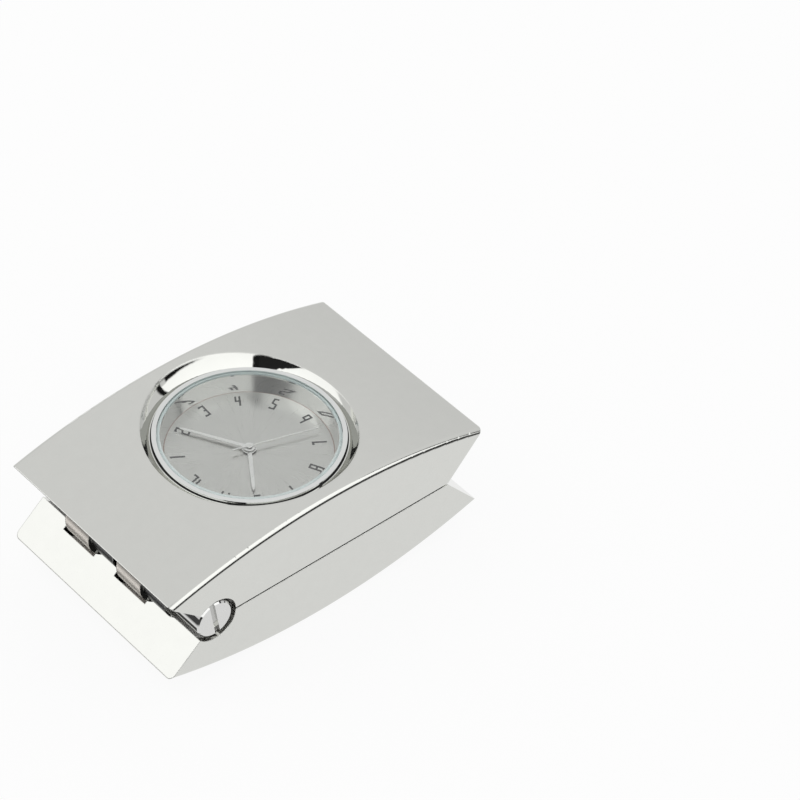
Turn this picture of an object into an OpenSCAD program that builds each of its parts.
// Folding desk clock and photo frame.
// Two arched die-cast halves fold on one hinge: the upper holds a quartz clock,
// the lower a round photograph. Closed it is a flat lens-shaped block, and opened
// it stands on the two far ends of its halves.
// Frame: +X from the hinge end to the far end, +Y across, +Z up through the dial.
// The origin is under the middle of the closed block.

/* [Case] */
// Width of both halves, along Y
case_w = 57; // [52:0.5:66]
// Length of the flat inner faces, from the hinge axis to the far end
inner_len = 67.5; // [64:0.5:80]
// Thickness of one half at its two end edges
edge_h = 11.2; // [10.4:0.1:12.4]
// Thickness of one half at its crown
crown_h = 18; // [17.4:0.1:20]
// Angle through which the clock half folds open
open_angle = 83.5; // [78:0.5:88]
// Gap between the two inner faces when closed
parting_gap = 0.5; // [0.3:0.1:0.9]
// Clearance left between the two hinge-end faces when fully open
meet_gap = 0.1; // [0.06:0.01:0.2]
// Rounding of the long outer edges
edge_round = 1.4; // [0.8:0.1:1.8]

/* [Hinge] */
// Radius of the hinge pin
pin_r = 2; // [1.6:0.1:2.4]
// Radius of the photo half's hinge knuckles
photo_knuckle_r = 6.2; // [5.6:0.1:6.6]
// Radius of the clock half's hinge knuckles
clock_knuckle_r = 7.2; // [6.4:0.1:7.6]
// Gap round the knuckles in the pockets of the other half
knuckle_gap = 0.8; // [0.5:0.05:0.9]
// Width of the knuckles of the photo half
photo_knuckle_w = 7.5; // [6:0.1:8.5]
// Width of the knuckles of the clock half
clock_knuckle_w = 8.5; // [6:0.1:9]
// Width of the gap that holds each pair of spring washers
washer_gap = 2.6; // [2.2:0.1:3]
// Radius of the slotted pivot nuts in the side faces
nut_r = 4.75; // [4:0.05:5.2]
// Gap round the pivot nuts
nut_gap = 0.95; // [0.5:0.05:1.1]
// Width of the screwdriver slot in a pivot nut
slot_w = 1.3; // [1:0.1:1.6]
// Depth of the screwdriver slot in a pivot nut
slot_d = 1.6; // [1:0.1:2]
// Lean of the near nut's slot from the vertical, towards the far end
near_slot_turn = -10; // [-80:5:80]
// Lean of the far nut's slot from the vertical, towards the far end
far_slot_turn = -55; // [-80:5:80]
// Thickness of a spring washer
washer_t = 0.5; // [0.4:0.05:0.6]
// Outer radius of a spring washer
washer_r = 5; // [4:0.1:5.6]

/* [Dishes] */
// Height of the dish floors above the parting plane
dish_floor = 14.2; // [13.8:0.1:14.6]
// Radius of the flat floor of the clock dish
clock_dish_r = 22.5; // [22.3:0.1:22.8]
// Radius of the flat floor of the photo dish
photo_dish_r = 23.2; // [23.1:0.1:23.6]
// Radius of the hollow wall that rises from a dish floor
dish_wall_r = 12; // [10:0.5:14]
// Slope of that wall at its foot, in degrees
dish_wall_foot = 44; // [40:1:48]
// Radius of the round recess in each inner face
recess_r = 23.8; // [23:0.1:23.9]
// Height of the top of the recess above the parting plane
recess_top = 9.6; // [8.6:0.1:10.4]

/* [Clock insert] */
// Radius of the insert's cup
cup_r = 20.9; // [20.7:0.05:21]
// Wall of the insert's cup
cup_wall = 0.5; // [0.4:0.05:0.6]
// Thickness of the cup's rear wall
cup_floor_t = 1; // [0.8:0.1:1.2]
// Height of the cup's rear face above the parting plane
cup_rear = 3; // [2.8:0.1:3.2]
// Radius of the bore in the case that the insert is pressed into
insert_bore_r = 21.3; // [21.2:0.05:21.4]
// Outer radius of the polished bezel
bezel_r = 21.95; // [21.9:0.05:22.2]
// Thickness of the bezel's flange
bezel_t = 0.3; // [0.2:0.05:0.4]
// Width of the bezel's raised lip
bezel_lip = 1.05; // [0.9:0.05:1.2]
// Height of the black seal round the bezel
seal_h = 0.4; // [0.3:0.1:1]
// Thickness of the glass
glass_t = 0.8; // [0.6:0.1:1]
// Width of the bevel on the glass
glass_bevel_w = 0.8; // [0.6:0.1:0.9]
// Depth of that bevel
glass_bevel_h = 0.35; // [0.2:0.05:0.5]
// Height of the dial's face above the parting plane
dial_top = 10; // [9.9:0.1:10.2]
// Thickness of the dial
dial_t = 0.4; // [0.3:0.05:0.5]
// Inner radius of the polished ring round the dial, at its front edge
rehaut_r = 20; // [19.8:0.05:20.1]
// Inner radius of that ring where it meets the dial
rehaut_foot_r = 19.15; // [19:0.05:19.5]

/* [Hands] */
// Hour shown by the hands at rest
rest_hour = 10; // [0:1:11]
// Minute shown by the hands at rest
rest_minute = 10; // [0:1:59]
// Second shown by the hands at rest
rest_second = 33; // [0:1:59]
// Length of the hour hand from the centre
hour_len = 13.6; // [11:0.1:14.5]
// Length of the minute hand from the centre
minute_len = 17; // [15:0.1:18]
// Length of the second hand from the centre
second_len = 17; // [15:0.1:18.5]
// Length of the second hand's tail
second_tail = 4.1; // [3:0.1:6]
// Width of the hour hand at its root
hour_root_w = 1.05; // [0.8:0.05:1.4]
// Width of the hour hand near its tip
hour_tip_w = 0.75; // [0.4:0.05:0.8]
// Width of the minute hand at its root
minute_root_w = 0.95; // [0.7:0.05:1.2]
// Width of the minute hand near its tip
minute_tip_w = 0.6; // [0.3:0.05:0.7]
// Width of the second hand at its tail
second_root_w = 0.32; // [0.26:0.02:0.4]
// Width of the second hand near its tip
second_tip_w = 0.25; // [0.15:0.01:0.26]
// Thickness of the hands
hand_t = 0.2; // [0.15:0.01:0.25]
// Height of the hour hand's underside above the dial
hand_lift = 0.35; // [0.3:0.05:0.8]
// Gap between one hand and the next
hand_gap = 0.2; // [0.15:0.05:0.5]

/* [Movement] */
// Thickness of the movement's front plate
main_plate_t = 0.8; // [0.6:0.1:1]
// Thickness of the movement's rear plate
rear_plate_t = 0.6; // [0.5:0.1:0.7]
// Outer radius of the two movement plates
plate_r = 18.9; // [18.6:0.1:19.2]
// Thickness of the gear wheels
wheel_t = 0.3; // [0.2:0.05:0.35]
// Tooth module of the going train
train_mod = 0.16; // [0.155:0.001:0.165]
// Tooth module of the rotor pinion and the wheel it drives
rotor_mod = 0.14; // [0.135:0.001:0.145]
// Tooth module of the motion work under the dial
motion_mod = 0.2; // [0.195:0.001:0.205]
// Radius of the button cell
cell_r = 5.8; // [5.6:0.1:6]
// Thickness of the button cell
cell_t = 3.05; // [2.6:0.05:3.1]
// Radius of the setting knob
knob_r = 3; // [2.4:0.1:3.6]
// Radial running clearance of pins, shafts and pivots
run_gap = 0.05; // [0.03:0.01:0.08]

/* [Photo insert] */
// Outer radius of the ring round the photograph
ring_r = 23; // [22.9:0.05:23.1]
// Wall of the ring round the photograph
ring_wall = 0.35; // [0.3:0.05:0.45]
// Width of the ring's lip over the window
ring_lip = 0.35; // [0.3:0.05:0.5]
// Depth of the ring's seat below the dish floor
ring_seat = 1.8; // [1.6:0.1:2.2]
// Height of the ring above the dish floor
ring_stand = 0.9; // [0.7:0.1:1.1]
// Thickness of the clear window over the photograph
window_t = 0.9; // [0.7:0.1:1.1]
// Thickness of the printed photograph
print_t = 0.25; // [0.2:0.05:0.3]
// Thickness of the card behind the photograph
card_t = 0.6; // [0.4:0.1:0.8]
// Radius of the hole through which the photo insert is pushed out
push_hole_r = 18; // [14:0.5:20]

/* [Hidden] */
$fn = 96;

// Thin overlap that lets a cut pass through the face it starts from
cut = 0.5;
// Hair clearance between pieces that are pushed or screwed together
fit_gap = 0.02;

// Side profile: the run of the slanted ends and the arc of the crown
half_angle = open_angle / 2;
heel_run = edge_h / tan(half_angle);
foot_run = edge_h * tan(half_angle);
case_len = inner_len + heel_run + foot_run;
mid_x = (inner_len + foot_run - heel_run) / 2;
rise = crown_h - edge_h;
arc_r = (pow(case_len / 2, 2) + pow(rise, 2)) / (2 * rise);
face_z = parting_gap / 2;
side_y = case_w / 2;

// Stations of the hinge along Y, from the near side to the far side
knuckle_end = (2 * photo_knuckle_w + 2 * clock_knuckle_w + 2 * washer_gap) / 2;
station = [
    -knuckle_end,
    -knuckle_end + photo_knuckle_w,
    -knuckle_end + photo_knuckle_w + clock_knuckle_w,
    -knuckle_end + photo_knuckle_w + clock_knuckle_w + washer_gap,
    -knuckle_end + 2 * photo_knuckle_w + clock_knuckle_w + washer_gap,
    -knuckle_end + 2 * photo_knuckle_w + 2 * clock_knuckle_w + washer_gap,
    knuckle_end
];
nut_pocket_r = nut_r + nut_gap;
nut_in = 0.2;
nut_len = side_y - nut_in - knuckle_end;
thread_depth = 6;
thread_gap = 0.03;
nut_chamfer = 0.35;

// Heights in the clock insert, above the parting plane
lip_stand = 0.1;
bezel_top = dish_floor + bezel_t + glass_t + lip_stand;
cup_in_r = cup_r - cup_wall;
cup_floor_top = cup_rear + cup_floor_t;
dial_under = dial_top - dial_t;
main_under = dial_under - main_plate_t;
rear_top = cup_floor_top + rear_plate_t;
glass_gap = 0.05;
glass_r = bezel_r - bezel_lip - glass_gap;
grip_h = 2;
grip_z = recess_top + 1;
dial_hole_gap = 0.3;

// Gear train: tooth counts and centre distances
rotor_teeth = 8;
intermediate_teeth = 48;
pinion_teeth = 8;
second_teeth = 40;
third_teeth = 64;
centre_teeth = 60;
cannon_teeth = 12;
minute_teeth = 36;
minute_pinion_teeth = 10;
hour_teeth = 40;
setting_teeth = 12;
rotor_span = (rotor_teeth + intermediate_teeth) / 2 * rotor_mod;
intermediate_span = (pinion_teeth + second_teeth) / 2 * train_mod;
third_span = (pinion_teeth + third_teeth) / 2 * train_mod;
centre_mod = third_span * 2 / (pinion_teeth + centre_teeth);
motion_span = (cannon_teeth + minute_teeth) / 2 * motion_mod;
hour_mod = motion_span * 2 / (minute_pinion_teeth + hour_teeth);
setting_span = (setting_teeth + minute_teeth) / 2 * motion_mod;

// Directions of the arbors round the centre, and their places
intermediate_dir = 20;
rotor_dir = 0;
third_dir = 90;
minute_dir = -90;
setting_dir = -30;
function polar(r, a) = [r * cos(a), r * sin(a)];
intermediate_at = polar(intermediate_span, intermediate_dir);
rotor_at = intermediate_at + polar(rotor_span, rotor_dir);
third_at = polar(third_span, third_dir);
minute_at = polar(motion_span, minute_dir);
setting_at = minute_at + polar(setting_span, setting_dir);

// Levels of the wheels, counted up from the rear plate
wheel_gap = 0.15;
intermediate_z = rear_top + 0.35;
second_z = intermediate_z + wheel_t + wheel_gap;
third_z = second_z + wheel_t + wheel_gap;
centre_z = third_z + wheel_t + 2 * wheel_gap;
minute_z = centre_z + wheel_t + 0.4;
hour_z = minute_z + wheel_t + 2 * wheel_gap;
// How far a pinion stands past the wheel it drives, on each side
pinion_lap = 0.1;

// Radii of the arbors and tubes on the centre line
second_arbor_r = 0.25;
pivot_r = 0.3;
centre_tube_r = 0.58;
cannon_tube_r = 0.88;
hour_tube_r = 1.2;
setting_shaft_r = 0.75;

// Arbors: the material left under their rear seats, their end play and their ends
seat_t = 0.2;
end_play = 0.05;
arbor_z = cup_floor_top + seat_t + end_play;
arbor_top = main_under + main_plate_t / 2 - end_play;
clutch_len = 1;

// Heights of the hands
hour_hand_z = dial_top + hand_lift;
minute_hand_z = hour_hand_z + hand_t + hand_gap;
second_hand_z = minute_hand_z + hand_t + hand_gap;
// Width of the rim round a hand's bore
hub_rim = 0.45;

// Hands at rest: twelve points to the hinge end, and the dial runs clockwise from above
twelve_dir = 180;
minute_turn = twelve_dir - rest_minute * 6;
hour_turn = twelve_dir - rest_hour * 30 - rest_minute / 2;
second_turn = twelve_dir - rest_second * 6;

// Places of the cell, the pillars, the coil and the board, from the dial's centre
cell_edge_gap = 0.2;
cell_dir = 225.6;
cell_at = polar(plate_r - cell_r - cell_edge_gap, cell_dir);
cell_z = cup_floor_top + 0.1;
cell_hole_r = cell_r + 0.3;
cover_r = cell_r + 0.4;
pillar_at = [[-10, 13], [4, 15], [4.5, -14.5]];
pillar_r = 1.1;
screw_r = 0.5;
screw_grip = 2.2;
screw_head_r = 0.9;
screw_head_t = 0.35;
screw_end_gap = 0.3;
stator_t = 0.6;
stator_z = centre_z;
stator_half = 7;
stator_leg = 1.4;
stator_hole_r = 1.3;
stator_left = rotor_at[0] - stator_hole_r - 0.6;
stator_right = rotor_at[0] + stator_hole_r + 0.6;
air_gap = 0.3;
magnet_lap = 0.2;
core_w = 1.6;
core_x = 12.6;
coil_r = 1.4;
coil_half = 4.6;
board_t = 0.6;
board_min = [-15, -2];
board_max = [-6.3, 9.2];
chip_at = board_max - [2.3, 3.8];
can_at = board_min + [2.4, 5.4];

// Photo insert, measured down from the dish floor of the photo half
window_r = ring_r - ring_wall;
ring_top = dish_floor + ring_stand;
seat_z = dish_floor - ring_seat;
window_z = ring_top - ring_lip - window_t;
print_z = window_z - print_t;
card_z = print_z - card_t;

// Places a child of the hinge frame in the part's frame
module part_frame() {
    translate([-mid_x, 0, crown_h]) children();
}

// Places a child that is centred on the dial in the part's frame
module dial_frame() {
    translate([0, 0, crown_h]) children();
}

// Turns a profile drawn in X and Z into a prism along Y
module along_y(from, to) {
    translate([0, to, 0]) rotate([90, 0, 0]) linear_extrude(to - from) children();
}

// A round bar along Y on the hinge axis
module bar_y(r, from, to) {
    translate([0, to, 0]) rotate([90, 0, 0]) cylinder(r = r, h = to - from);
}

// A ring about Z between two heights
module ring(outer, inner, from, to) {
    translate([0, 0, from]) difference() {
        cylinder(r = outer, h = to - from);
        translate([0, 0, -cut]) cylinder(r = inner, h = to - from + 2 * cut);
    }
}

// The slanted ends and the flat inner face of a half, with its top left open
module wedge() {
    top = crown_h + 1;
    heel_shift = meet_gap / sin(half_angle);
    along_y(-side_y, side_y)
        polygon([
            [heel_shift - face_z * heel_run / edge_h, face_z],
            [inner_len + face_z * foot_run / edge_h, face_z],
            [inner_len + top * foot_run / edge_h, top],
            [heel_shift - top * heel_run / edge_h, top]
        ]);
}

// The drum that gives the crown its arc and rounds its two long edges
module drum() {
    translate([mid_x, 0, crown_h - arc_r]) rotate([90, 0, 0]) rotate_extrude($fn = 360) {
        translate([0, -side_y]) square([arc_r - edge_round, case_w]);
        translate([0, edge_round - side_y]) square([arc_r, case_w - 2 * edge_round]);
        translate([arc_r - edge_round, side_y - edge_round]) circle(r = edge_round);
        translate([arc_r - edge_round, edge_round - side_y]) circle(r = edge_round);
    }
}

// The hollow of a dish: a flat floor and a hollow wall that grows steeper towards its rim
module dish(floor_r) {
    centre_r = floor_r - dish_wall_r * sin(dish_wall_foot);
    centre_h = dish_wall_r * cos(dish_wall_foot);
    rim_r = centre_r + dish_wall_r;
    translate([mid_x, 0, dish_floor]) {
        cylinder(r = floor_r, h = crown_h);
        intersection() {
            cylinder(r = rim_r + cut, h = crown_h);
            translate([0, 0, centre_h]) rotate_extrude() translate([centre_r, 0]) circle(r = dish_wall_r);
        }
        translate([0, 0, centre_h]) cylinder(r = rim_r, h = crown_h);
    }
}

// One half, drawn above the parting plane: block, knuckles, pockets and recess
module half(own, own_r, other, other_r, floor_r) {
    difference() {
        union() {
            difference() {
                intersection() {
                    wedge();
                    drum();
                }
                for (s = other) bar_y(other_r + knuckle_gap, s[0], s[1]);
                dish(floor_r);
                translate([mid_x, 0, 0]) cylinder(r = recess_r, h = recess_top);
            }
            for (s = own) bar_y(own_r, s[0], s[1]);
        }
        for (s = own) bar_y(pin_r + run_gap, s[0] - cut, s[1] + cut);
        bar_y(nut_pocket_r, -side_y - cut, -knuckle_end);
        bar_y(nut_pocket_r, knuckle_end, side_y + cut);
    }
}

// Knuckles of each half as stations along Y; the clock half's stand off by a running gap
photo_knuckles = [[station[0], station[1]], [station[3], station[4]]];
clock_knuckles = [
    [station[1] + run_gap, station[2]],
    [station[4] + run_gap, station[5]]
];
photo_pockets = [[station[1], station[3]], [station[4], station[6]]];
clock_pockets = [
    [station[0], station[1]],
    [station[2], station[4]],
    [station[5], station[6]]
];

// The same stations on a half that is turned over about X
function turned(list) = [for (s = list) [-s[1], -s[0]]];

module photo_case() {
    color("silver") part_frame() rotate([180, 0, 0]) difference() {
        half(turned(photo_knuckles), photo_knuckle_r,
            turned(photo_pockets), clock_knuckle_r, photo_dish_r);
        translate([mid_x, 0, seat_z]) cylinder(r = ring_r + fit_gap, h = crown_h);
        translate([mid_x, 0, 0]) cylinder(r = push_hole_r, h = crown_h);
    }
}

module clock_case() {
    color("silver") part_frame() difference() {
        half(clock_knuckles, clock_knuckle_r,
            clock_pockets, photo_knuckle_r, clock_dish_r);
        translate([mid_x, 0, 0]) cylinder(r = insert_bore_r, h = crown_h);
    }
}

module hinge_pin() {
    reach = knuckle_end + thread_depth;
    color("gray") part_frame() bar_y(pin_r, -reach, reach);
}

// A slotted barrel nut, drawn with its inner face at Y 0 and its head outward
module pivot_nut(slot_turn) {
    difference() {
        rotate([-90, 0, 0]) rotate_extrude() difference() {
            polygon([
                [0, 0],
                [nut_r, 0],
                [nut_r, nut_len - nut_chamfer],
                [nut_r - nut_chamfer, nut_len],
                [0, nut_len]
            ]);
            square([2 * pin_r + 2 * thread_gap, 2 * (thread_depth + fit_gap)], center = true);
        }
        rotate([0, slot_turn, 0])
            translate([-slot_w / 2, nut_len - slot_d, -nut_r - cut])
                cube([slot_w, slot_d + cut, 2 * (nut_r + cut)]);
    }
}

module pivot_nuts() {
    color("lightgray") part_frame() {
        translate([0, knuckle_end, 0]) pivot_nut(far_slot_turn);
        mirror([0, 1, 0]) translate([0, knuckle_end, 0]) pivot_nut(near_slot_turn);
    }
}

// A coned washer about Y, its rim towards +Y
module coned_washer(rise_y) {
    inner = pin_r + run_gap;
    rotate([-90, 0, 0]) rotate_extrude() polygon([
        [inner, 0],
        [washer_r, rise_y],
        [washer_r, rise_y + washer_t],
        [inner, washer_t]
    ]);
}

// Two pairs of coned washers, rim to rim, one pair in each gap of the hinge
module spring_washers() {
    play = 0.05;
    cone = washer_gap / 2 - washer_t - 1.5 * play;
    color("dimgray") part_frame() for (y = [station[2], station[5]]) translate([0, y, 0]) {
        translate([0, play, 0]) coned_washer(cone);
        translate([0, washer_gap - play, 0]) mirror([0, 1, 0]) coned_washer(cone);
    }
}

// The photo insert hangs below the parting plane, so its pieces are drawn up and mirrored
module photo_frame() {
    dial_frame() mirror([0, 0, 1]) children();
}

module photo_ring() {
    color("gainsboro") photo_frame() {
        ring(ring_r, window_r + fit_gap, seat_z, ring_top);
        ring(ring_r, window_r - ring_lip, ring_top - ring_lip, ring_top);
    }
}

module photo_window() {
    color("aliceblue", 0.4) photo_frame() translate([0, 0, window_z])
        cylinder(r = window_r, h = window_t);
}

module photo_print() {
    color("rosybrown") photo_frame() translate([0, 0, print_z])
        cylinder(r = window_r, h = print_t);
}

module photo_card() {
    color("burlywood") photo_frame() translate([0, 0, card_z])
        cylinder(r = window_r, h = card_t);
}

// A foam ring that presses the card and the photograph against the window
module photo_pad() {
    color("darkslategray") photo_frame() ring(window_r, push_hole_r, seat_z, card_z);
}

module insert_bezel() {
    color("gainsboro") dial_frame() {
        ring(bezel_r, rehaut_r, dish_floor, dish_floor + bezel_t);
        ring(bezel_r, bezel_r - bezel_lip, dish_floor, bezel_top);
    }
}

// The black ring that fills the gap between the bezel and the wall of the dish
module bezel_seal() {
    color("black") dial_frame() ring(clock_dish_r - fit_gap, bezel_r, dish_floor, dish_floor + seal_h);
}

// Flat glass with a bevelled front edge
module crystal() {
    under = dish_floor + bezel_t;
    color("aliceblue", 0.35) dial_frame() translate([0, 0, under]) rotate_extrude() polygon([
        [0, 0],
        [glass_r, 0],
        [glass_r, glass_t - glass_bevel_h],
        [glass_r - glass_bevel_w, glass_t],
        [0, glass_t]
    ]);
}

// Polished ring that widens from the dial to the glass
module rehaut_ring() {
    outer = cup_in_r - fit_gap;
    color("whitesmoke") dial_frame() rotate_extrude() polygon([
        [rehaut_foot_r, dial_top],
        [outer, dial_top],
        [outer, dish_floor],
        [rehaut_r, dish_floor]
    ]);
}

module dial() {
    color("silver") dial_frame()
        ring(cup_in_r - fit_gap, hour_tube_r + dial_hole_gap, dial_under, dial_top);
}

module insert_cup() {
    color("dimgray") dial_frame() difference() {
        translate([0, 0, cup_rear]) cylinder(r = cup_r, h = dish_floor - cup_rear);
        translate([0, 0, cup_floor_top]) cylinder(r = cup_in_r, h = dish_floor);
        translate([cell_at[0], cell_at[1], 0]) cylinder(r = cover_r + run_gap, h = dish_floor);
        translate([setting_at[0], setting_at[1], 0])
            cylinder(r = setting_shaft_r + run_gap, h = dish_floor);
    }
}

// The rubber band that holds the insert in its bore
module grip_ring() {
    color("black") dial_frame()
        ring(insert_bore_r - fit_gap, cup_r + fit_gap, grip_z, grip_z + grip_h);
}

module movement_holder() {
    color("white") dial_frame()
        ring(cup_in_r - fit_gap, plate_r + fit_gap, cup_floor_top, dial_under);
}

// Front plate with its pillars and the fixed stud of the minute wheel
module main_plate() {
    color("ivory") dial_frame() difference() {
        union() {
            translate([0, 0, main_under]) cylinder(r = plate_r, h = main_plate_t);
            for (p = pillar_at) translate([p[0], p[1], rear_top])
                cylinder(r = pillar_r, h = main_under - rear_top);
            translate([minute_at[0], minute_at[1], minute_z])
                cylinder(r = pivot_r, h = main_under - minute_z);
        }
        translate([0, 0, main_under - cut])
            cylinder(r = hour_tube_r + run_gap, h = main_plate_t + 2 * cut);
        for (p = [third_at, rotor_at, setting_at]) translate([p[0], p[1], main_under - cut])
            cylinder(r = pivot_r + run_gap, h = main_plate_t / 2 + cut);
        for (p = pillar_at) translate([p[0], p[1], rear_top - cut])
            cylinder(r = screw_r + fit_gap, h = screw_grip + screw_end_gap + cut);
    }
}

// Rear plate with the stud of the intermediate wheel, open round the cell
module rear_plate() {
    color("ivory") dial_frame() difference() {
        union() {
            translate([0, 0, cup_floor_top]) cylinder(r = plate_r, h = rear_plate_t);
            translate([intermediate_at[0], intermediate_at[1], rear_top])
                cylinder(r = pivot_r, h = third_z - rear_top);
        }
        translate([cell_at[0], cell_at[1], cup_floor_top - cut])
            cylinder(r = cell_hole_r, h = rear_plate_t + 2 * cut);
        translate([setting_at[0], setting_at[1], cup_floor_top - cut])
            cylinder(r = setting_shaft_r + run_gap, h = rear_plate_t + 2 * cut);
        for (p = [third_at, rotor_at]) translate([p[0], p[1], cup_floor_top + seat_t])
            cylinder(r = pivot_r + run_gap, h = rear_plate_t);
        translate([0, 0, cup_floor_top + seat_t])
            cylinder(r = second_arbor_r + run_gap, h = rear_plate_t);
        for (p = pillar_at) translate([p[0], p[1], cup_floor_top - cut]) {
            cylinder(r = screw_r + fit_gap, h = rear_plate_t + 2 * cut);
            cylinder(r = screw_head_r + fit_gap, h = cut + screw_head_t + fit_gap);
        }
    }
}

module plate_screws() {
    color("gold") dial_frame() for (p = pillar_at) translate([p[0], p[1], cup_floor_top]) {
        cylinder(r = screw_head_r, h = screw_head_t);
        cylinder(r = screw_r, h = rear_plate_t + screw_grip);
    }
}

// Flat stator: a bar with the rotor's hole and two legs that reach the coil's core
module stator() {
    color("slategray") dial_frame() translate([0, rotor_at[1], stator_z])
        linear_extrude(stator_t) difference() {
            union() {
                translate([stator_left, -stator_half])
                    square([stator_right - stator_left, 2 * stator_half]);
                for (y = [-stator_half, stator_half - stator_leg])
                    translate([stator_left, y])
                        square([core_x + core_w / 2 - stator_left, stator_leg]);
            }
            translate([rotor_at[0], 0]) circle(r = stator_hole_r);
        }
}

module coil_core() {
    color("slategray") dial_frame()
        translate([core_x - core_w / 2, rotor_at[1] - stator_half, stator_z + stator_t])
            cube([core_w, 2 * stator_half, stator_t]);
}

module coil() {
    axis_z = stator_z + 1.5 * stator_t;
    color("peru") dial_frame() translate([core_x, rotor_at[1], axis_z]) difference() {
        bar_y(coil_r, -coil_half, coil_half);
        cube([core_w + 2 * fit_gap, 3 * coil_half, stator_t + 2 * fit_gap], center = true);
    }
}

module circuit_board() {
    color("darkgreen") dial_frame() translate([board_min[0], board_min[1], rear_top])
        cube([board_max[0] - board_min[0], board_max[1] - board_min[1], board_t]);
}

module controller_chip() {
    chip_r = 1.8;
    chip_h = 0.8;
    ball_r = (chip_r * chip_r + chip_h * chip_h) / (2 * chip_h);
    color("black") dial_frame()
        translate([chip_at[0], chip_at[1], rear_top + board_t]) intersection() {
        translate([0, 0, chip_h - ball_r]) sphere(r = ball_r);
        cylinder(r = 2 * chip_r, h = chip_h);
    }
}

module quartz_crystal() {
    can_r = 1;
    can_half = 3;
    color("silver") dial_frame() translate([can_at[0], can_at[1], rear_top + board_t + can_r])
        bar_y(can_r, -can_half, can_half);
}

module button_cell() {
    rim = 0.25;
    cap_r = cell_r - 0.9;
    color("lightsteelblue") dial_frame() translate([cell_at[0], cell_at[1], cell_z]) {
        cylinder(r = cell_r, h = cell_t - rim);
        translate([0, 0, cell_t - rim]) cylinder(r = cap_r, h = rim);
    }
}

// Two spring strips: one on the cell's cap, one on its side, both on the board
module battery_contacts() {
    strip = 0.2;
    strip_w = 3;
    side_w = 2;
    side_h = 2;
    side_x = cell_at[0] + 0.5;
    side_from = cell_at[1] + cell_r + fit_gap;
    cap_z = cell_z + cell_t;
    cap_from = cell_at[1] - 2;
    foot_y = board_min[1] + 1;
    color("goldenrod") dial_frame() {
        translate([cell_at[0] - strip_w, cap_from, cap_z])
            cube([strip_w, foot_y - cap_from, strip]);
        translate([cell_at[0] - strip_w, foot_y - strip, rear_top + board_t])
            cube([strip_w, strip, cap_z - rear_top - board_t + strip]);
        translate([side_x, side_from, rear_top]) cube([side_w, strip, side_h]);
        translate([side_x, side_from, rear_top])
            cube([side_w, board_min[1] - side_from, strip]);
    }
}

// The round cover of the cell, with a coin slot
module battery_cover() {
    coin_slot = [8.7, 1.2, 0.5];
    color("black") dial_frame() translate([cell_at[0], cell_at[1], cup_rear]) difference() {
        cylinder(r = cover_r, h = cup_floor_t);
        translate([-coin_slot[0] / 2, -coin_slot[1] / 2, -cut])
            cube([coin_slot[0], coin_slot[1], coin_slot[2] + cut]);
    }
}

// Corner points of a small spur gear with straight-sided teeth
function gear_points(teeth, mod) = [
    for (i = [0 : teeth - 1], c = [[-0.3, -1.1], [-0.14, 0.8], [0.14, 0.8], [0.3, -1.1]])
        polar(teeth * mod / 2 + c[1] * mod, 360 / teeth * (i + c[0]))
];

// Angle that sets gear B in mesh with gear A, whose first tooth is at turn_a
function mesh_turn(turn_a, teeth_a, teeth_b, dir) =
    dir + 180 + teeth_a / teeth_b * (dir - turn_a) + 180 / teeth_b;

module gear(teeth, mod, from, to, turn) {
    translate([0, 0, from]) rotate([0, 0, turn])
        linear_extrude(to - from) polygon(gear_points(teeth, mod));
}

// Every wheel's angle follows from the second wheel and the cannon pinion
second_wheel_turn = 0;
intermediate_turn = mesh_turn(second_wheel_turn, second_teeth, pinion_teeth, intermediate_dir);
rotor_turn = mesh_turn(intermediate_turn, intermediate_teeth, rotor_teeth, rotor_dir);
third_turn = mesh_turn(second_wheel_turn, pinion_teeth, third_teeth, third_dir);
centre_turn = mesh_turn(third_turn, pinion_teeth, centre_teeth, third_dir + 180);
cannon_turn = 0;
minute_wheel_turn = mesh_turn(cannon_turn, cannon_teeth, minute_teeth, minute_dir);
hour_wheel_turn = mesh_turn(minute_wheel_turn, minute_pinion_teeth, hour_teeth, minute_dir + 180);
setting_turn = mesh_turn(minute_wheel_turn, minute_teeth, setting_teeth, setting_dir);

// Stepping rotor: a magnet on an arbor with its pinion
module rotor() {
    color("dimgray") dial_frame() translate([rotor_at[0], rotor_at[1], 0]) {
        translate([0, 0, arbor_z]) cylinder(r = pivot_r, h = arbor_top - arbor_z);
        gear(rotor_teeth, rotor_mod, intermediate_z - pinion_lap,
            intermediate_z + wheel_t + pinion_lap, rotor_turn);
        translate([0, 0, stator_z - magnet_lap])
            cylinder(r = stator_hole_r - air_gap, h = stator_t + 2 * magnet_lap);
    }
}

module intermediate_wheel() {
    color("white") dial_frame() translate([intermediate_at[0], intermediate_at[1], 0]) difference() {
        union() {
            gear(intermediate_teeth, rotor_mod, intermediate_z, intermediate_z + wheel_t,
                intermediate_turn);
            gear(pinion_teeth, train_mod, intermediate_z, second_z + wheel_t, intermediate_turn);
        }
        cylinder(r = pivot_r + run_gap, h = dial_top);
    }
}

module second_wheel() {
    color("white") dial_frame() {
        gear(second_teeth, train_mod, second_z, second_z + wheel_t, second_wheel_turn);
        gear(pinion_teeth, train_mod, second_z, third_z + wheel_t, second_wheel_turn);
        translate([0, 0, arbor_z])
            cylinder(r = second_arbor_r, h = second_hand_z + hand_t - arbor_z);
    }
}

module third_wheel() {
    color("white") dial_frame() translate([third_at[0], third_at[1], 0]) {
        gear(third_teeth, train_mod, third_z, third_z + wheel_t, third_turn);
        gear(pinion_teeth, centre_mod, third_z, centre_z + wheel_t, third_turn);
        translate([0, 0, arbor_z]) cylinder(r = pivot_r, h = arbor_top - arbor_z);
    }
}

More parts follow.
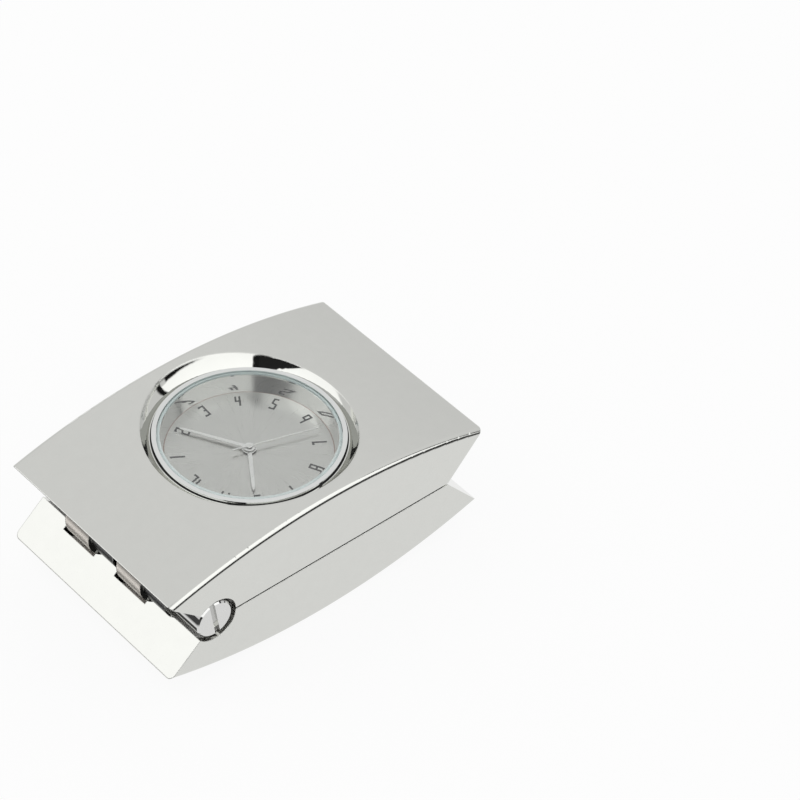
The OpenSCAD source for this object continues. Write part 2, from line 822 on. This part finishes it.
// Centre wheel on a short tube; the cannon pinion is pushed over it and can slip
module centre_wheel() {
    color("white") dial_frame() difference() {
        union() {
            gear(centre_teeth, centre_mod, centre_z, centre_z + wheel_t, centre_turn);
            translate([0, 0, centre_z])
                cylinder(r = centre_tube_r, h = minute_z + clutch_len - centre_z);
        }
        cylinder(r = second_arbor_r + run_gap, h = dial_top);
    }
}

module cannon_pinion() {
    color("khaki") dial_frame() difference() {
        union() {
            gear(cannon_teeth, motion_mod, minute_z - pinion_lap,
                minute_z + wheel_t + pinion_lap, cannon_turn);
            translate([0, 0, minute_z])
                cylinder(r = cannon_tube_r, h = minute_hand_z + hand_t - minute_z);
        }
        cylinder(r = centre_tube_r + run_gap, h = minute_z + clutch_len + run_gap);
        cylinder(r = second_arbor_r + run_gap, h = crown_h);
    }
}

module minute_wheel() {
    color("white") dial_frame() translate([minute_at[0], minute_at[1], 0]) difference() {
        union() {
            gear(minute_teeth, motion_mod, minute_z, minute_z + wheel_t, minute_wheel_turn);
            gear(minute_pinion_teeth, hour_mod, minute_z, hour_z + wheel_t, minute_wheel_turn);
        }
        cylinder(r = pivot_r + run_gap, h = dial_top);
    }
}

module hour_wheel() {
    color("khaki") dial_frame() difference() {
        union() {
            gear(hour_teeth, hour_mod, hour_z, hour_z + wheel_t, hour_wheel_turn);
            translate([0, 0, hour_z]) cylinder(r = hour_tube_r, h = hour_hand_z + hand_t - hour_z);
        }
        cylinder(r = cannon_tube_r + run_gap, h = crown_h);
    }
}

// A hand pushed on a tube, tapering from its root to its tip
module hand(len, tail, root_w, tip_w, tube_r, z, turn) {
    translate([0, 0, z]) rotate([0, 0, turn]) linear_extrude(hand_t) difference() {
        union() {
            polygon([
                [-tail, -root_w / 2],
                [len - root_w, -tip_w / 2],
                [len, 0],
                [len - root_w, tip_w / 2],
                [-tail, root_w / 2]
            ]);
            circle(r = tube_r + hub_rim);
        }
        circle(r = tube_r + fit_gap);
    }
}

module hour_hand() {
    color("white") dial_frame()
        hand(hour_len, 0, hour_root_w, hour_tip_w, hour_tube_r, hour_hand_z, hour_turn);
}

module minute_hand() {
    color("white") dial_frame()
        hand(minute_len, 0, minute_root_w, minute_tip_w, cannon_tube_r, minute_hand_z, minute_turn);
}

module second_hand() {
    color("white") dial_frame() hand(second_len, second_tail, second_root_w, second_tip_w,
        second_arbor_r, second_hand_z, second_turn);
}

// Setting knob, its shaft and the pinion that turns the minute wheel
module setting_knob() {
    flutes = 18;
    flute_r = 0.3;
    knob_z = 1;
    knob_top = cup_rear - 0.1;
    color("black") dial_frame() translate([setting_at[0], setting_at[1], 0]) {
        translate([0, 0, knob_z]) linear_extrude(knob_top - knob_z) difference() {
            circle(r = knob_r);
            for (i = [0 : flutes - 1]) rotate([0, 0, 360 / flutes * i])
                translate([knob_r + flute_r / 3, 0]) circle(r = flute_r, $fn = 16);
        }
        translate([0, 0, knob_z]) cylinder(r = setting_shaft_r, h = minute_z - knob_z);
        gear(setting_teeth, motion_mod, minute_z - pinion_lap,
            minute_z + wheel_t + pinion_lap, setting_turn);
        translate([0, 0, minute_z]) cylinder(r = pivot_r, h = arbor_top - minute_z);
    }
}

photo_case();
hinge_pin();
pivot_nuts();
spring_washers();
photo_ring();
photo_window();
photo_print();
photo_card();
photo_pad();
clock_case();
insert_bezel();
bezel_seal();
crystal();
rehaut_ring();
dial();
insert_cup();
grip_ring();
movement_holder();
main_plate();
rear_plate();
plate_screws();
stator();
coil_core();
coil();
circuit_board();
controller_chip();
quartz_crystal();
button_cell();
battery_contacts();
battery_cover();
rotor();
intermediate_wheel();
second_wheel();
third_wheel();
centre_wheel();
cannon_pinion();
minute_wheel();
hour_wheel();
hour_hand();
minute_hand();
second_hand();
setting_knob();
